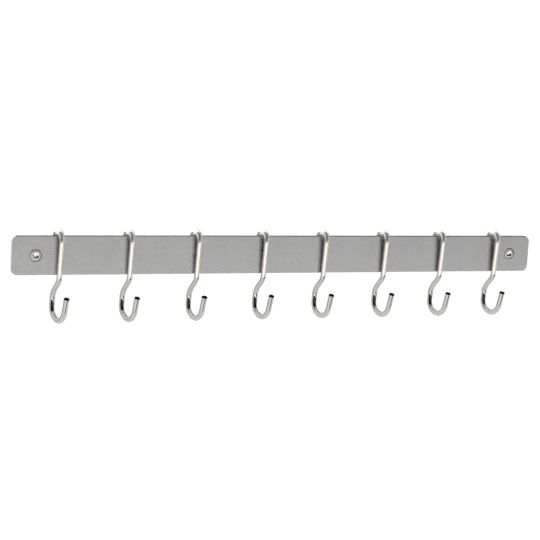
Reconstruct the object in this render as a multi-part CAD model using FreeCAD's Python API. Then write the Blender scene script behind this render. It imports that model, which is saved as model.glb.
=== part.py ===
import FreeCAD, Part
import os
from math import cos, radians, sin, sqrt

# Wall-mounted utensil rail: a flat bar on two stand-offs, with wire hooks hung over its upper edge.
# Millimetres. The wall is the plane y = 0, the front faces -Y and the bar's middle is at x = z = 0.

# Rail: flat bar with rounded corners and broken edges.
rail_length = 600.0
rail_height = 40.0
rail_thickness = 3.0
rail_corner_radius = 6.5
rail_edge_break = 0.3
fixing_from_end = 25.0

# Stand-off tubes between the rail and the wall.
spacer_length = 15.0
spacer_radius = 7.0
spacer_edge_break = 0.6

# Wall screws: countersunk heads, hardly domed, with a cross recess. The thread starts at the wall.
screw_thread_radius = 2.7
screw_shank_radius = 2.4
screw_head_radius = 5.9
screw_head_sink = 0.3
screw_rim_gap = 0.3
screw_dome_height = 0.4
screw_free_length = 34.0
screw_point_length = 7.0
screw_tip_radius = 0.4
screw_hole_clearance = 0.7

# Cross recess of the screws: a tapered pit with four wings.
recess_depth = 1.7
recess_pit_radius = 3.3
recess_floor_radius = 0.7
recess_wing_reach = 4.0
recess_wing_floor = 1.6
recess_wing_width = 1.3
recess_turn = 45.0

# Hook: one bent wire. Slopes are measured from its shank.
wire_radius = 3.0
arch_radius = 7.0
arch_turn = 180.0
arch_leg_length = 14.0
shank_length = 38.8
neck_bend_radius = 10.5
neck_slope = 37.4
neck_length = 8.0
back_bend_radius = 18.8
back_length = 6.4
bowl_radius = 13.1
bowl_turn = 170.0
tip_length = 16.0
wire_end_chamfer = 0.5

# How a hook hangs: its foot leans on the bar's lower edge and its plane is turned about the vertical.
# Its place along the bar is a share of the bar's length, from the middle.
hook_lean = 4.0
hook_turn = 13.0
hook_gap = 0.3
hook_places = [-0.419, -0.295, -0.1725, -0.0467, 0.07, 0.191, 0.3075, 0.4225]

# Derived places.
rail_back_y = -spacer_length
rail_front_y = rail_back_y - rail_thickness
rail_top_z = rail_height / 2
rail_bottom_z = -rail_height / 2
fixing_x = rail_length / 2 - fixing_from_end
screw_hole_radius = screw_thread_radius + screw_hole_clearance
screw_head_depth = screw_head_radius - screw_shank_radius
screw_head_y = rail_front_y + screw_head_sink
FORWARD = FreeCAD.Vector(0, -1, 0)
BACKWARD = FreeCAD.Vector(0, 1, 0)
UP = FreeCAD.Vector(0, 0, 1)
ALONG = FreeCAD.Vector(1, 0, 0)


def point(x, y, z):
    return FreeCAD.Vector(x, y, z)


def edges_near(shape, test):
    return [edge for edge in shape.Edges if test(edge)]


def make_rail():
    """The bar, its rounded corners, broken edges and two countersunk holes."""
    bar = Part.makeBox(rail_length, rail_thickness, rail_height,
                       point(-rail_length / 2, rail_front_y, rail_bottom_z))
    corners = edges_near(bar, lambda e: abs(e.Length - rail_thickness) < 1e-6)
    bar = bar.makeFillet(rail_corner_radius, corners)
    rims = edges_near(bar, lambda e: abs(e.BoundBox.YLength) < 1e-6)
    bar = bar.makeChamfer(rail_edge_break, rims)
    for x in (-fixing_x, fixing_x):
        front = point(x, rail_front_y, 0)
        through = Part.makeCylinder(screw_hole_radius, rail_thickness, front, BACKWARD)
        mouth = Part.makeCylinder(screw_head_radius + screw_rim_gap, screw_head_sink, front, BACKWARD)
        sink = Part.makeCone(screw_head_radius, screw_shank_radius, screw_head_depth,
                             point(x, screw_head_y, 0), BACKWARD)
        bar = bar.cut(through).cut(mouth).cut(sink)
    return bar


def make_spacer(x):
    """A tube with broken outer edges, from the back of the rail to the wall."""
    tube = Part.makeCylinder(spacer_radius, spacer_length, point(x, rail_back_y, 0), BACKWARD)
    rims = edges_near(tube, lambda e: abs(e.BoundBox.YLength) < 1e-6)
    tube = tube.makeChamfer(spacer_edge_break, rims)
    bore = Part.makeCylinder(screw_hole_radius, spacer_length, point(x, rail_back_y, 0), BACKWARD)
    return tube.cut(bore)


def make_screw_head(x):
    """The head's low dome on its countersunk cone."""
    apex_y = screw_head_y - screw_dome_height
    dome_radius = (screw_head_radius ** 2 + screw_dome_height ** 2) / (2 * screw_dome_height)
    mid_drop = screw_dome_height / 4
    mid_r = sqrt(mid_drop * (2 * dome_radius - mid_drop))
    middle = point(x, screw_head_y, 0)
    rim = point(x + screw_head_radius, screw_head_y, 0)
    apex = point(x, apex_y, 0)
    outline = Part.Wire([
        Part.LineSegment(middle, rim).toShape(),
        Part.Arc(rim, point(x + mid_r, apex_y + mid_drop, 0), apex).toShape(),
        Part.LineSegment(apex, middle).toShape(),
    ])
    dome = Part.Face(outline).revolve(middle, FORWARD, 360)
    cone = Part.makeCone(screw_head_radius, screw_shank_radius, screw_head_depth, middle, BACKWARD)
    return dome.fuse(cone)


def make_recess(x):
    """The cross recess as a solid to cut from the head."""
    top_y = screw_head_y - screw_dome_height
    floor_y = top_y + recess_depth
    top = point(x, top_y, 0)
    pit = Part.makeCone(recess_pit_radius, recess_floor_radius, recess_depth, top, BACKWARD)
    corners = [
        point(x - recess_wing_reach, top_y, -recess_wing_width / 2),
        point(x + recess_wing_reach, top_y, -recess_wing_width / 2),
        point(x + recess_wing_floor, floor_y, -recess_wing_width / 2),
        point(x - recess_wing_floor, floor_y, -recess_wing_width / 2),
    ]
    wings = Part.Face(Part.makePolygon(corners + corners[:1])).extrude(UP * recess_wing_width)
    crossing = wings.copy()
    wings.rotate(top, BACKWARD, recess_turn)
    crossing.rotate(top, BACKWARD, recess_turn + 90)
    return pit.fuse([wings, crossing]).removeSplitter()


def make_screw(x):
    """Countersunk screw through rail and spacer; its threaded end runs on past the wall."""
    shank_y = screw_head_y + screw_head_depth
    point_y = screw_free_length - screw_point_length
    shank = Part.makeCylinder(screw_shank_radius, -shank_y, point(x, shank_y, 0), BACKWARD)
    thread = Part.makeCylinder(screw_thread_radius, point_y, point(x, 0, 0), BACKWARD)
    tip = Part.makeCone(screw_thread_radius, screw_tip_radius, screw_point_length,
                        point(x, point_y, 0), BACKWARD)
    return make_screw_head(x).fuse([shank, thread, tip]).removeSplitter().cut(make_recess(x))


class Wire:
    """Round wire bent in the plane x = 0, one length at a time; heading 0 runs down and +90 forward."""

    def __init__(self, start, heading):
        self.at = start
        self.heading = heading
        self.lengths = []

    def direction(self):
        angle = radians(self.heading)
        return point(0, -sin(angle), -cos(angle))

    def section(self):
        return Part.Face(Part.Wire([Part.Circle(self.at, self.direction(), wire_radius).toShape()]))

    def line(self, length):
        step = self.direction() * length
        self.lengths.append(self.section().extrude(step))
        self.at = self.at + step

    def bend(self, radius, turn):
        side = 1 if turn > 0 else -1
        angle = radians(self.heading)
        centre = self.at + point(0, -cos(angle), sin(angle)) * (side * radius)
        self.lengths.append(self.section().revolve(centre, ALONG * -side, abs(turn)))
        self.heading += turn
        angle = radians(self.heading)
        self.at = centre - point(0, -cos(angle), sin(angle)) * (side * radius)

    def solid(self):
        return self.lengths[0].fuse(self.lengths[1:])


def make_hook_upright():
    """One hook with its shank upright: the arch's centre is the origin, the shank lies forward of it."""
    wire = Wire(point(0, arch_radius, -arch_leg_length), arch_turn)
    start = wire.at
    wire.line(arch_leg_length)
    wire.bend(arch_radius, -arch_turn)
    wire.line(shank_length)
    wire.bend(neck_bend_radius, -neck_slope)
    wire.line(neck_length)
    wire.bend(back_bend_radius, neck_slope)
    wire.line(back_length)
    wire.bend(bowl_radius, bowl_turn)
    wire.line(tip_length)
    rod = wire.solid()
    ends = edges_near(rod, lambda e: e.Closed and min((e.CenterOfMass - start).Length,
                                                      (e.CenterOfMass - wire.at).Length) < 1e-4)
    return rod.makeChamfer(wire_end_chamfer, ends)


def arch_seat():
    """Arch centre (forward of the rail's face, up) that leaves hook_gap at both places of contact."""
    lean = radians(hook_lean)
    turn = radians(hook_turn)
    skew = sqrt(cos(lean) ** 2 + (sin(lean) * cos(turn)) ** 2)
    foot = (wire_radius + hook_gap) * skew / (cos(turn) * cos(lean))
    slope = sin(lean) / cos(lean)
    level = foot - arch_radius * cos(lean) - slope * (arch_radius * sin(lean) + rail_bottom_z)
    back_edge = -rail_thickness / cos(turn)
    reach = arch_radius - wire_radius - hook_gap
    a = 1 + slope ** 2
    b = slope * (level - back_edge) - rail_top_z
    c = rail_top_z ** 2 + (level - back_edge) ** 2 - reach ** 2
    centre_z = (-b - sqrt(b ** 2 - a * c)) / a
    return level + slope * centre_z, centre_z


def make_hooks():
    """Every hook, leaned and turned as it hangs, at its own place along the rail."""
    forward, centre_z = arch_seat()
    turn = radians(hook_turn)
    hung = make_hook_upright()
    hung.rotate(point(0, 0, 0), ALONG, hook_lean)
    hung.rotate(point(0, 0, 0), UP, hook_turn)
    hooks = []
    for place in hook_places:
        hook = hung.copy()
        station = place * rail_length
        hook.translate(point(station + forward * sin(turn), rail_front_y - forward * cos(turn), centre_z))
        hooks.append(hook)
    return hooks


parts = {"rail": make_rail()}
for side, fixing in (("left", -fixing_x), ("right", fixing_x)):
    parts["spacer_" + side] = make_spacer(fixing)
    parts["screw_" + side] = make_screw(fixing)
for number, hook in enumerate(make_hooks(), 1):
    parts["hook_%d" % number] = hook

os.makedirs("parts", exist_ok=True)
for node, shape in parts.items():
    shape.exportStep("parts/%s.step" % node)
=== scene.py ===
import math

import bmesh
import bpy
from mathutils import Matrix, Vector


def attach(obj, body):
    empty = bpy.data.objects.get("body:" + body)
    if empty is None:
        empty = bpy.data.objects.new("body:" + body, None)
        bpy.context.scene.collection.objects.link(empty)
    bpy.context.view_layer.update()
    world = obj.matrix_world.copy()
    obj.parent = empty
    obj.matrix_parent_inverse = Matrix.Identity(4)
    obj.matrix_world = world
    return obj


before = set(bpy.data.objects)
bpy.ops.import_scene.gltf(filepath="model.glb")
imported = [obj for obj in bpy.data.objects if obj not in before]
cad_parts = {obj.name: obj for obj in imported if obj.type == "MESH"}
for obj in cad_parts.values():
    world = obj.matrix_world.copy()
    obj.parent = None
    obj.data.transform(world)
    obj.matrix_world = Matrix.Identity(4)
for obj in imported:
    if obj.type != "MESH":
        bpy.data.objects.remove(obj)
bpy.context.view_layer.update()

# The rail: a flat bar of stainless steel, 600 x 40 x 3 mm, cut with round corners and broken edges.
# Its faces are blasted to an even satin, which leaves a fine mottle and blurs what it mirrors.
# The upper edge is darker, and painted shade darkens the mouths of the two screw holes round the heads.
rail_dark = (0.478, 0.485, 0.488)
rail_light = (0.628, 0.636, 0.640)
dark_top_and_mouth_shade = (0.10, 0.097, 0.094)
rail_edge_z = 0.0194
screw_x = 0.275
mouth_radius = 0.00635
grains_per_metre = 420.0
clouds_per_metre = 38.0
grain_share = 0.55
mottle_contrast = 2.2
satin_roughness = 0.23


class Finish:
    """A socket in a material's nodes: sums written on it add Math nodes."""

    def __init__(self, tree, socket=None):
        self.tree = tree
        self.socket = socket

    def node(self, kind, settings=None, sockets=None, out=0):
        made = self.tree.nodes.new(kind)
        for name, value in (settings or {}).items():
            setattr(made, name, value)
        for name, value in (sockets or {}).items():
            if isinstance(value, Finish):
                self.tree.links.new(value.socket, made.inputs[name])
            else:
                made.inputs[name].default_value = value
        return Finish(self.tree, made.outputs[out])

    def maths(self, operation, first, second=0.0):
        return self.node("ShaderNodeMath", {"operation": operation}, {0: first, 1: second})

    def __add__(self, other):
        return self.maths("ADD", self, other)

    __radd__ = __add__

    def __sub__(self, other):
        return self.maths("SUBTRACT", self, other)

    def __rsub__(self, other):
        return self.maths("SUBTRACT", other, self)

    def __mul__(self, other):
        return self.maths("MULTIPLY", self, other)

    __rmul__ = __mul__

    def __pow__(self, other):
        return self.maths("POWER", self, other)

    def __gt__(self, other):
        return self.maths("GREATER_THAN", self, other)

    def __lt__(self, other):
        return self.maths("LESS_THAN", self, other)

    def feeds(self, shader, name):
        self.tree.links.new(self.socket, shader.inputs[name])


def bare_metal(name):
    """A new metal: the material, where its finish starts, and its shader."""
    material = bpy.data.materials.new(name)
    material.use_nodes = True
    shader = material.node_tree.nodes["Principled BSDF"]
    shader.inputs["Metallic"].default_value = 1.0
    return material, Finish(material.node_tree), shader


def spot_on(start):
    return start.node("ShaderNodeTexCoord", out="Object")


def split(spot, axes):
    """The named axes of a spot or direction, one value each."""
    return [spot.node("ShaderNodeSeparateXYZ", None, {0: spot}, out=axis) for axis in axes]


def speckle(start, scale, detail=2.0, stretch=None):
    """Noise on Object coordinates, about 0.5 in the middle; scale is in grains to the metre."""
    spot = spot_on(start)
    if stretch:
        spot = start.node("ShaderNodeMapping", None, {"Vector": spot, "Scale": stretch})
    return start.node("ShaderNodeTexNoise", None,
                      {"Vector": spot, "Scale": scale, "Detail": detail, "Roughness": 0.6})


def tint(start, amount, without, full):
    """A colour between two, by amount."""
    pair = [colour if isinstance(colour, Finish) else (*colour, 1.0) for colour in (without, full)]
    return start.node("ShaderNodeMix", {"data_type": "RGBA"},
                      {"Factor": amount, 6: pair[0], 7: pair[1]}, out=2)


def from_screw(across, height):
    """The distance from the nearer wall screw's axis."""
    offset = across.maths("ABSOLUTE", across) - screw_x
    return (offset * offset + height * height) ** 0.5


satin, start, shader = bare_metal("satin_steel")
grain = speckle(start, grains_per_metre, 3.0)
cloud = speckle(start, clouds_per_metre)
mottle = grain * grain_share + cloud * (1.0 - grain_share)
across, height = split(spot_on(start), "XZ")
top_edge = height > rail_edge_z
# The mouth of each screw hole gets painted shade round the head, and the upper edge is darker.
mouth = from_screw(across, height) < mouth_radius
blasted = tint(start, (mottle - 0.5) * mottle_contrast + 0.5, rail_dark, rail_light)
dark_top_and_shaded_mouth = start.maths("MAXIMUM", top_edge, mouth)
tint(start, dark_top_and_shaded_mouth, blasted, dark_top_and_mouth_shade).feeds(shader, "Base Color")
(satin_roughness + 0.10 * mottle + 0.25 * top_edge).feeds(shader, "Roughness")
start.node("ShaderNodeBump", None,
           {"Strength": 0.05, "Distance": 0.0002, "Height": mottle}).feeds(shader, "Normal")
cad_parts["rail"].material_slots[0].material = satin

# The stand-offs: two tubes turned from round steel bar, between the rail and the wall.
# The wall screws go through them and clamp them, and the lathe's fine rings still show.
turned_dark = (0.50, 0.50, 0.50)
turned_light = (0.70, 0.70, 0.69)
lathe_stretch = (120.0, 4000.0, 120.0)
turned, start, shader = bare_metal("turned_steel")
rings = speckle(start, 1.0, 3.0, lathe_stretch)
cloud = speckle(start, 60.0)
tint(start, rings * 0.8 + cloud * 0.2, turned_dark, turned_light).feeds(shader, "Base Color")
(0.18 + 0.16 * rings).feeds(shader, "Roughness")
start.node("ShaderNodeBump", None,
           {"Strength": 0.25, "Distance": 0.0001, "Height": rings}).feeds(shader, "Normal")
for side in ("left", "right"):
    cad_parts["spacer_" + side].material_slots[0].material = turned

# The wall screws: stainless steel screws with countersunk heads, through the rail and the stand-offs.
# The head's face is satin with painted shade on its rim, its punched cross recess is bright, and the
# thread past the
# wall is rolled: a ridge wound round the shank, which rises at both ends and follows the point.
recess_dark = (0.86, 0.855, 0.845)
recess_light = (0.97, 0.965, 0.955)
land_dark = (0.84, 0.84, 0.837)
land_light = (0.95, 0.95, 0.947)
rim_painted_shade = (0.14, 0.135, 0.13)
head_rim = 0.0056
head_back_y = -0.0174
recess_reach = 0.00325
thread_root = 0.0026
thread_crest = 0.00305
thread_pitch = 0.0026
thread_flank = thread_pitch * 0.22
thread_start = 0.0012
thread_turns = 11.75
thread_steps = 40
thread_rise = thread_pitch / 2
thread_least = 0.02
thread_sharp = 0.6
point_start = 0.027
point_end = 0.034
point_share = 0.13
forged, start, shader = bare_metal("forged_steel")
blotch = speckle(start, 420.0, 4.0)
across, into, height = split(spot_on(start), "XYZ")
ring = from_screw(across, height)
land = (ring > recess_reach) * (into < head_back_y)
recess = tint(start, blotch, recess_dark, recess_light)
steel = tint(start, land, recess, tint(start, blotch, land_dark, land_light))
# painted shade on the head's rim, in the gap to the rail
tint(start, ring > head_rim, steel, rim_painted_shade).feeds(shader, "Base Color")
(0.05 + 0.08 * blotch + 0.42 * land).feeds(shader, "Roughness")
thread_end = thread_start + thread_pitch * thread_turns
for side, x in (("left", -screw_x), ("right", screw_x)):
    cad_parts["screw_" + side].material_slots[0].material = forged
    bm = bmesh.new()
    corners = ((thread_root, -thread_flank), (thread_crest, 0.0), (thread_root, thread_flank))
    profile = [bm.verts.new((x + out, thread_start + along, 0.0)) for out, along in corners]
    profile += [bm.edges.new((profile[k], profile[(k + 1) % 3])) for k in range(3)]
    bmesh.ops.spin(bm, geom=profile, cent=(x, 0.0, 0.0), axis=(0.0, 1.0, 0.0),
                   angle=2 * math.pi * thread_turns, steps=round(thread_turns * thread_steps),
                   dvec=(0.0, thread_pitch / thread_steps, 0.0))
    bmesh.ops.holes_fill(bm, edges=[edge for edge in bm.edges if edge.is_boundary], sides=3)
    for vert in bm.verts:
        taper = min(max((vert.co.y - point_start) / (point_end - point_start), 0.0), 1.0)
        from_end = min(vert.co.y - thread_start, thread_end - vert.co.y)
        radius = math.hypot(vert.co.x - x, vert.co.z)
        ridge = (radius - thread_root) * min(max(from_end / thread_rise, thread_least), 1.0)
        core = thread_root * (1.0 - taper * (1.0 - point_share))
        share = (core + ridge) / radius
        vert.co.x = x + (vert.co.x - x) * share
        vert.co.z = vert.co.z * share
    bmesh.ops.recalc_face_normals(bm, faces=bm.faces)
    for face in bm.faces:
        face.smooth = True
    for edge in bm.edges:
        edge.smooth = len(edge.link_faces) == 2 and edge.calc_face_angle() < thread_sharp
    mesh = bpy.data.meshes.new("screw_thread_" + side)
    bm.to_mesh(mesh)
    bm.free()
    mesh.materials.append(forged)
    thread = bpy.data.objects.new("screw_thread_" + side, mesh)
    bpy.context.scene.collection.objects.link(thread)
    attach(thread, "wall_bar")

# The hooks: eight lengths of 6 mm round wire, bent cold, plated bright and hung loose over the rail, so
# that they slide by hand. Painted highlight makes the plating brightest over the arch, and painted shade
# makes it duller behind the arch and low down. The arch's front has a painted brown reflection and a
# painted white highlight, the J's bend starts softly, the cut tips are black.
hook_places = (-0.2514, -0.177, -0.1035, -0.02802, 0.042, 0.1146, 0.1845, 0.2535)
hook_side = Vector((0.9744, 0.2250, 0.0))
tip_end = Vector((0.004476, -0.037388, -0.040558))
tip_heading = Vector((0.0544, -0.2357, 0.9703))
cut_depth = 0.0013
cut_reach = 0.004
# Plating colours: the low one is painted shade, the crest one a painted highlight, the rear one painted
# shade.
painted_low_shade = (0.475, 0.470, 0.462)
plating_high = (0.565, 0.553, 0.537)
painted_crest_highlight = (0.97, 0.965, 0.955)
painted_rear_shade = (0.30, 0.29, 0.28)
# colours of the painted brown reflection and the painted white highlight on the arch's front
painted_brown_reflection = (0.33, 0.26, 0.20)
painted_white_highlight = (1.0, 0.99, 0.97)
haze_white = (1.0, 1.0, 1.0)
cut_black = (0.008, 0.007, 0.006)
cut_grey = (0.016, 0.014, 0.012)
# Where each finish and painted light is absent and where it is full: heights, depths from the wall, or
# widths across.
shank_heights = (-0.030, -0.020)
crest_heights = (0.015, 0.0195)
summit_heights = (0.0226, 0.0242)
arch_front_depths = (-0.0145, -0.0165)
arch_foot_heights = (0.0122, 0.0162)
patch_head_heights = (0.0256, 0.0238)
patch_depths = (-0.0195, -0.0225)
patch_widths = (-0.00282, -0.0026)
white_highlight_widths = (-0.0013, -0.0005)
bend_heights = (-0.0488, -0.0613)
bend_depths = (-0.034, -0.016)
bend_slant = 1.3
bend_swell = 0.0017


def fade(value, absent, full, curve="SMOOTHSTEP"):
    """0 up to one limit and 1 from the other on, with a soft change between them."""
    return value.node("ShaderNodeMapRange", {"interpolation_type": curve},
                      {"Value": value, "From Min": absent, "From Max": full})


def along(offset, heading):
    """How far an offset goes along a heading."""
    return offset.node("ShaderNodeVectorMath", {"operation": "DOT_PRODUCT"},
                       {0: offset, 1: heading}, out="Value")


for number, place in enumerate(hook_places, 1):
    bright, start, shader = bare_metal("bright_wire_%d" % number)
    haze = speckle(start, 350.0, 3.0)
    wave = speckle(start, 90.0, 1.0)
    spot = spot_on(start)
    into, height = split(spot, "YZ")
    tip = tip_end + Vector((place, 0.0, 0.0))
    offset = start.node("ShaderNodeVectorMath", {"operation": "SUBTRACT"}, {0: spot, 1: tip})
    reach = start.node("ShaderNodeVectorMath", {"operation": "LENGTH"}, {0: offset}, out="Value")
    width = along(offset, hook_side)
    arch_front = fade(into, *arch_front_depths)
    arch_upper = fade(height, *arch_foot_heights)
    summit = fade(height, *summit_heights)
    # painted highlight over the crest and summit; painted shade behind the arch
    crest = start.maths("MAXIMUM", fade(height, *crest_heights) * arch_front, summit)
    rear_shade = (1.0 - arch_front) * arch_upper * (1.0 - summit)
    # the arch's front: a painted brown reflection on its left part and a painted white highlight on its
    # right part
    painted_arch_patch = (arch_upper * fade(height, *patch_head_heights)
             * fade(into, *patch_depths) * fade(width, *patch_widths))
    white_highlight = painted_arch_patch * fade(width, *white_highlight_widths)
    brown_reflection = painted_arch_patch - white_highlight
    # The plating's colour, with painted shade low down and behind the arch and a painted highlight on
    # the crest.
    plating_and_painted_light = tint(start, fade(height, *shank_heights), painted_low_shade, plating_high)
    plating_and_painted_light = tint(start, crest, plating_and_painted_light, painted_crest_highlight)
    plating_and_painted_light = tint(start, rear_shade, plating_and_painted_light, painted_rear_shade)
    plating_and_painted_light = tint(start, brown_reflection, plating_and_painted_light, painted_brown_reflection)
    plating_and_painted_light = tint(start, white_highlight, plating_and_painted_light, painted_white_highlight)
    tint(start, haze * 0.08, plating_and_painted_light, haze_white).feeds(shader, "Base Color")
    (0.02 + 0.03 * haze + 0.25 * painted_arch_patch + 0.2 * crest).feeds(shader, "Roughness")
    (1.0 - 0.6 * brown_reflection - white_highlight).feeds(shader, "Metallic")
    bend = fade(height + bend_slant * width, *bend_heights, "LINEAR") * fade(into, *bend_depths)
    swell = start.node("ShaderNodeBump", None,
                       {"Strength": 1.0, "Distance": bend_swell, "Height": bend})
    ripple = start.node("ShaderNodeBump", None,
                        {"Strength": 0.02, "Distance": 0.001, "Height": wave, "Normal": swell})
    ripple.feeds(shader, "Normal")
    nodes, links = bright.node_tree.nodes, bright.node_tree.links
    raw = nodes.new("ShaderNodeBsdfPrincipled")
    raw.inputs["Specular IOR Level"].default_value = 0.0
    raw.inputs["Roughness"].default_value = 0.8
    tint(start, haze, cut_black, cut_grey).feeds(raw, "Base Color")
    both = nodes.new("ShaderNodeMixShader")
    ((along(offset, tip_heading) > -cut_depth) * (reach < cut_reach)).feeds(both, "Fac")
    links.new(shader.outputs["BSDF"], both.inputs[1])
    links.new(raw.outputs["BSDF"], both.inputs[2])
    links.new(both.outputs["Shader"], nodes["Material Output"].inputs["Surface"])
    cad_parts["hook_%d" % number].material_slots[0].material = bright

# The studio: a pale glowing paper floor well below the rail, in a white room with a bright ceiling.
# The side that the camera stands on is hung with dark cloth, over a low bright sill with a white card on
# it, so that the polished wire has white bands and dark cores and the satin rail an even grey.
floor_drop = 0.36
floor_front = -0.42
floor_back = 3.0
floor_side = 0.85
paper_dark = (0.34, 0.34, 0.34)
paper_light = (0.36, 0.36, 0.36)
paper_glow = 0.82
bm = bmesh.new()
bmesh.ops.create_grid(bm, x_segments=1, y_segments=1, size=1.0)
bmesh.ops.scale(bm, vec=(floor_side, (floor_back - floor_front) / 2, 1.0), verts=bm.verts)
bmesh.ops.translate(bm, vec=(0.0, (floor_back + floor_front) / 2, -floor_drop), verts=bm.verts)
floor_mesh = bpy.data.meshes.new("floor")
bm.to_mesh(floor_mesh)
bm.free()
floor = bpy.data.objects.new("floor", floor_mesh)
bpy.context.scene.collection.objects.link(floor)
paper = bpy.data.materials.new("white_paper")
paper.use_nodes = True
shader = paper.node_tree.nodes["Principled BSDF"]
shader.inputs["Roughness"].default_value = 0.9
shader.inputs["Specular IOR Level"].default_value = 0.1
shader.inputs["Emission Color"].default_value = (1.0, 1.0, 1.0, 1.0)
shader.inputs["Emission Strength"].default_value = paper_glow
start = Finish(paper.node_tree)
tint(start, speckle(start, 40.0), paper_dark, paper_light).feeds(shader, "Base Color")
floor_mesh.materials.append(paper)

# The room's light, seen from the rail: azimuth 0 is straight in front and grows to the right. Each
# patch of wall has its sides and its heights as from, to and softness, in degrees, and its brightness.
wall_white = (1.15, 1.13, 1.10)
wall_warm = (1.06, 1.01, 0.95)
ceiling_white = (1.38, 1.36, 1.33)
nook_grey = (0.33, 0.32, 0.31)
bench_white = (1.45, 1.40, 1.33)
bench_grey = (0.25, 0.245, 0.24)
sill_cream = (1.20, 1.10, 1.00)
sill_white = (1.78, 1.75, 1.71)
sill_brown = (0.45, 0.42, 0.39)
sill_pale = (1.25, 1.23, 1.20)
cove_grey = (0.60, 0.58, 0.56)
cloth_black = (0.012, 0.011, 0.010)
card_left = (1.06, 1.04, 1.02)
card_right = (1.35, 1.34, 1.33)
backdrop_white = (1.05, 1.05, 1.05)
stand_cover = 0.9
flag_cover = 0.45
sill_right_end = 120.0
world = bpy.data.worlds.new("room")
world.use_nodes = True
room = Finish(world.node_tree)
heading = room.node("ShaderNodeTexCoord", out="Generated")
across, back, height = split(heading, "XYZ")
azimuth = room.maths("ARCTAN2", across, 0.0 - back)
elevation = room.maths("ARCSINE", height)


def between(angle, low, high, soft):
    """1 where an angle lies between two others, in degrees, with edges that fade over soft."""
    enters = fade(angle, math.radians(low - soft), math.radians(low + soft))
    leaves = fade(angle, math.radians(high - soft), math.radians(high + soft))
    return enters * (1.0 - leaves)


def patch(sides, heights):
    """1 on a patch of the room, 0 outside it."""
    return between(azimuth, *sides) * between(elevation, *heights)


left_wall = between(azimuth, -150.0, -60.0, 25.0)
ceiling = between(elevation, 58.0, 100.0, 6.0)
nook = patch((104.0, 164.0, 8.0), (30.0, 66.0, 5.0))
bench = patch((-90.0, 80.0, 8.0), (-60.0, -24.0, 2.5))
bench_middle = between(azimuth, -10.0, 58.0, 8.0)
sill = patch((-96.0, 80.0, 6.0), (-24.0, -9.0, 1.5))
sill_middle = between(azimuth, -50.0, sill_right_end, 5.0)
sill_joint = between(azimuth, 27.0, sill_right_end, 5.0)
sill_right = between(azimuth, 54.0, sill_right_end, 5.0)
cove = patch((-66.0, 66.0, 10.0), (50.0, 69.0, 2.5))
cloth = patch((-62.0, 88.0, 8.0), (-11.0, 55.0, 1.5))
stand = patch((14.0, 76.0, 4.0), (-31.0, -19.0, 1.5))
flag = patch((-136.0, -98.0, 4.0), (-22.0, -5.0, 1.5))
card = patch((6.0, 52.0, 4.0), (-14.0, -6.0, 1.5))
card_half = between(azimuth, 21.0, sill_right_end, 6.0)
walls = tint(room, left_wall, wall_white, wall_warm)
walls = tint(room, ceiling, walls, ceiling_white)
walls = tint(room, nook, walls, nook_grey)
walls = tint(room, bench, walls, tint(room, bench_middle, bench_white, bench_grey))
boards = tint(room, sill_middle, sill_cream, sill_white)
boards = tint(room, sill_joint, boards, sill_brown)
boards = tint(room, sill_right, boards, sill_pale)
walls = tint(room, sill, walls, boards)
walls = tint(room, cove, walls, cove_grey)
props = room.maths("MAXIMUM", stand * stand_cover, flag * flag_cover)
walls = tint(room, room.maths("MAXIMUM", cloth, props), walls, cloth_black)
walls = tint(room, card, walls, tint(room, card_half, card_left, card_right))
seen = room.node("ShaderNodeLightPath", out="Is Camera Ray")
walls = tint(room, seen, walls, backdrop_white)
light = room.node("ShaderNodeBackground", None, {"Color": walls, "Strength": 1.0})
light.feeds(world.node_tree.nodes["World Output"], "Surface")
bpy.context.scene.world = world
bpy.context.scene.view_settings.view_transform = "Standard"

# The camera: a long lens on a tripod in front of the rail's left half and a little above it.
# It looks to the right and down at the rail's middle and is rolled a little.
eye = Vector((-0.7389, -1.6459, 0.2571))
yaw = math.radians(23.87)
pitch = math.radians(8.74)
roll = math.radians(3.38)
lens_mm = 113.13
sensor_mm = 36.0
nearest = 0.05
ahead = Vector((math.sin(yaw) * math.cos(pitch), math.cos(yaw) * math.cos(pitch), -math.sin(pitch)))
level_right = Vector((math.cos(yaw), -math.sin(yaw), 0.0))
level_up = level_right.cross(ahead)
right = level_right * math.cos(roll) + level_up * math.sin(roll)
up = level_up * math.cos(roll) - level_right * math.sin(roll)
camera = bpy.data.objects.new("camera", bpy.data.cameras.new("camera"))
camera.data.lens = lens_mm
camera.data.sensor_width = sensor_mm
camera.data.clip_start = nearest
turned_view = Matrix((right, up, -ahead)).transposed().to_4x4()
camera.matrix_world = Matrix.Translation(eye) @ turned_view
bpy.context.scene.collection.objects.link(camera)
bpy.context.scene.camera = camera
